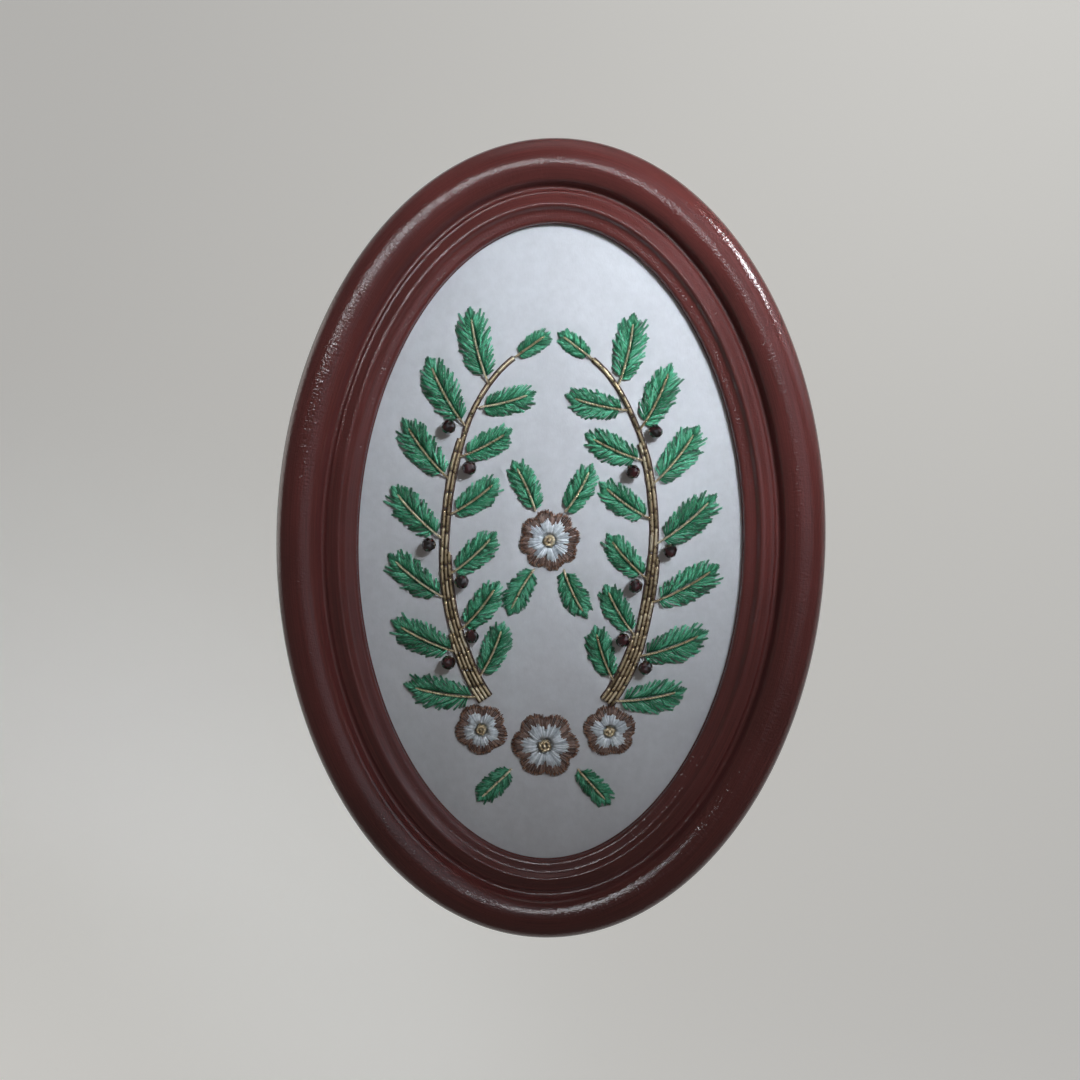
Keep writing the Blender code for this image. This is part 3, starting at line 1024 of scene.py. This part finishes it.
def makeRoom():
    # a floor that curves up all round; it lends the object no light of its own,
    # and only its far half shows in the lacquer
    floor, radius, curve = studio["floorZ"], studio["radius"], studio["curve"]
    profile = [(0.0, floor)]
    for angle in np.radians(np.linspace(0, 90, 19)):
        out = radius - curve + curve * math.sin(angle)
        profile.append((out, floor + curve - curve * math.cos(angle)))
    profile.append((radius, studio["height"]))
    paint = Recipe("palePaint", Roughness=0.85, Base_Color=studio["paint"])
    paint.set(Emission_Color=studio["paint"], Emission_Strength=studio["glow"])
    for name, start, mirrored in (("farHalf", 0.0, True), ("nearHalf", math.pi, False)):
        turns = np.linspace(start, start + math.pi, studio["segments"])
        rings = [np.stack([out * np.cos(turns), out * np.sin(turns), np.full_like(turns, up)], -1)
                 for out, up in profile]
        count = len(turns)
        faces = [(a * count + b, a * count + b + 1, (a + 1) * count + b + 1, (a + 1) * count + b)
                 for a in range(len(rings) - 1) for b in range(count - 1)]
        mesh = bpy.data.meshes.new(name)
        mesh.from_pydata(np.concatenate(rings).tolist(), [], faces)
        mesh.shade_smooth()
        mesh.materials.append(paint.material)
        half = bpy.data.objects.new(name, mesh)
        half.visible_diffuse = False
        half.visible_glossy = mirrored
        bpy.context.scene.collection.objects.link(half)


# lights: which of them gives shading and which shows as a reflection
lamps = {
    "keyLamp": {
        "place": (0.210, -0.330, 0.260), "aim": (0.040, -0.01, 0.085), "size": (0.14, 0.14),
        "turn": 0, "spread": 36, "power": 0.158, "colour": (0.83, 0.91, 1.0), "shows": "shading",
    },
    "edgeLamp": {
        "place": (0.420, -0.230, 0.330), "aim": (0.052, -0.0135, 0.079), "size": (0.07, 0.07),
        "turn": 0, "spread": 16, "power": 0.014, "colour": (0.96, 0.98, 1.0), "shows": "reflection",
    },
    "frontLamp": {
        "place": (-0.20, -1.10, 0.23), "aim": (0.0, 0.0, 0.0), "size": (0.62, 0.045),
        "turn": -8, "spread": 180, "power": 2.9, "colour": (0.93, 0.96, 1.0), "shows": "reflection",
    },
    "paleVeil": {
        "place": (0.45, -1.20, 0.26), "aim": (0.05, 0.0, 0.05), "size": (1.00, 1.00),
        "turn": 0, "spread": 180, "power": 1.7, "colour": (0.84, 0.88, 1.0), "shows": "reflection",
    },
    "skyLamp": {
        "place": (0.0, -0.15, 0.85), "aim": (0.0, 0.0, 0.0), "size": (0.60, 0.60),
        "turn": 0, "spread": 180, "power": 0.5, "colour": (0.96, 0.98, 1.0), "shows": "both",
    },
    "sideLamp": {
        "place": (0.95, -0.30, 0.50), "aim": (0.0, 0.0, 0.0), "size": (0.60, 0.60),
        "turn": 0, "spread": 180, "power": 1.2, "colour": (0.80, 0.89, 1.0), "shows": "both",
    },
    "leftGlow": {
        "place": (-0.95, 0.32, 0.12), "aim": (0.0, 0.0, 0.0), "size": (0.64, 0.64),
        "turn": 0, "spread": 180, "power": 1.5, "colour": (1.0, 0.98, 0.93), "shows": "both",
    },
    "rearLamp": {
        "place": (-0.55, 0.95, 0.75), "aim": (0.0, 0.0, 0.0), "size": (0.60, 0.60),
        "turn": 0, "spread": 120, "power": 1.3, "colour": (1.0, 0.99, 0.96), "shows": "shading",
    },
    "backdropLamp": {
        "place": (0.50, 0.70, 0.80), "aim": (0.35, 1.55, 0.50), "size": (0.80, 0.60),
        "turn": 0, "spread": 140, "power": 1.5, "colour": (1.0, 1.0, 0.98), "shows": "shading",
    },
}


def makeLamps():
    for name, lamp in lamps.items():
        light = bpy.data.lights.new(name, "AREA")
        light.shape = "RECTANGLE"
        light.size, light.size_y = lamp["size"]
        light.energy = lamp["power"]
        light.color = lamp["colour"]
        light.spread = math.radians(lamp["spread"])
        thing = bpy.data.objects.new(name, light)
        thing.location = lamp["place"]
        thing.visible_camera = False
        thing.visible_glossy = lamp["shows"] != "shading"
        thing.visible_diffuse = lamp["shows"] != "reflection"
        aimed = (Vector(lamp["aim"]) - thing.location).to_track_quat("-Z", "Y").to_matrix()
        turned = aimed @ Matrix.Rotation(math.radians(lamp["turn"]), 3, "Z")
        thing.rotation_euler = turned.to_euler()
        bpy.context.scene.collection.objects.link(thing)
    world = bpy.data.worlds.new("softRoom")
    world.use_nodes = True
    background = world.node_tree.nodes["Background"]
    background.inputs["Color"].default_value = (*studio["worldColour"], 1.0)
    background.inputs["Strength"].default_value = studio["worldStrength"]
    bpy.context.scene.world = world


view = {
    "distance": 0.42,
    "above": math.radians(7.0),
    "right": math.radians(1.6),
    "roll": math.radians(1.2),
    "lens": 50.0,
    "aim": (-2.9 * mm, 0.0, 1.6 * mm),
}


def makeCamera():
    camera = bpy.data.objects.new("photoView", bpy.data.cameras.new("photoView"))
    camera.data.lens = view["lens"]
    camera.data.clip_start = 0.01
    up, side = view["above"], view["right"]
    back = Vector((math.sin(side) * math.cos(up), -math.cos(side) * math.cos(up), math.sin(up)))
    look = Matrix(back.to_track_quat("Z", "Y").to_matrix().to_4x4())
    place = Matrix.Translation(Vector(view["aim"]) + back * view["distance"])
    camera.matrix_world = place @ look @ Matrix.Rotation(view["roll"], 4, "Z")
    bpy.context.scene.collection.objects.link(camera)
    bpy.context.scene.camera = camera


makeRoom()
makeLamps()
makeCamera()
bpy.context.scene.view_settings.view_transform = "Standard"
print("studio set")
